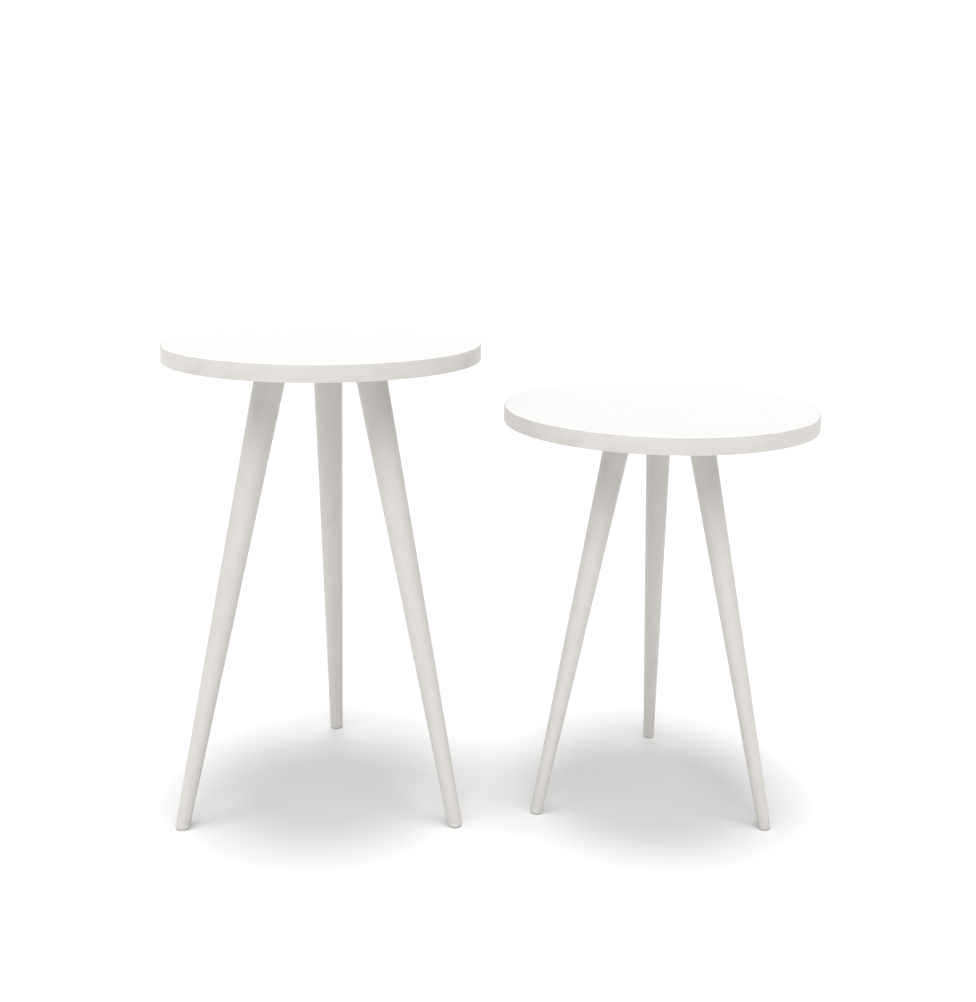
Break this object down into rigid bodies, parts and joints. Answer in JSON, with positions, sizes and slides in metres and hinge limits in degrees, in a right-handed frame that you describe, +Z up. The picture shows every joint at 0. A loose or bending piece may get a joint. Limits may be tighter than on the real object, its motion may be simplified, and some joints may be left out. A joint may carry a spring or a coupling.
{
  "type": "nesting tables",
  "caption": "Round nesting side tables on splayed, tapered legs; the low one slides partly under the tall one's top.",
  "frame": {"origin": "on the floor, midway between the tables as they stand side by side, under the middle of the whole set's box", "axes": "+X from the tall table to the low one, +Y to the back, +Z up"},
  "size_m": [0.83, 0.41, 0.6],
  "materials": {
    "white_laminate": "white melamine laminate, satin",
    "backing_laminate": "light grey backing laminate, matt",
    "edge_band": "warm white edge band, satin",
    "fibreboard": "raw medium-density fibreboard",
    "painted_wood": "turned wood under warm white satin lacquer",
    "pressed_steel": "zinc-plated pressed steel",
    "bright_steel": "bright zinc-plated steel",
    "nylon": "grey moulded nylon, matt"
  },
  "bodies": {
    "tall_table": {"tall_board": "fibreboard", "tall_top_laminate": "white_laminate", "tall_backer": "backing_laminate", "tall_edge_band": "edge_band", "tall_plate_left": "pressed_steel", "tall_plate_right": "pressed_steel", "tall_plate_back": "pressed_steel", "tall_plate_screws": "bright_steel", "tall_weld_nuts": "bright_steel", "tall_leg_left": "painted_wood", "tall_leg_right": "painted_wood", "tall_leg_back": "painted_wood", "tall_hanger_bolts": "bright_steel", "tall_glide_left": "nylon", "tall_glide_right": "nylon", "tall_glide_back": "nylon", "tall_glide_nails": "bright_steel"},
    "low_table": {"low_board": "fibreboard", "low_top_laminate": "white_laminate", "low_backer": "backing_laminate", "low_edge_band": "edge_band", "low_plate_left": "pressed_steel", "low_plate_right": "pressed_steel", "low_plate_back": "pressed_steel", "low_plate_screws": "bright_steel", "low_weld_nuts": "bright_steel", "low_leg_left": "painted_wood", "low_leg_right": "painted_wood", "low_leg_back": "painted_wood", "low_hanger_bolts": "bright_steel", "low_glide_left": "nylon", "low_glide_right": "nylon", "low_glide_back": "nylon", "low_glide_nails": "bright_steel"}
  },
  "joints": [
    {"name": "low_table_slide", "type": "slide", "parent": "tall_table", "child": "low_table", "axis": [-0.8695, 0.4939, 0], "range_m": [0, 0.2518]}
  ]
}
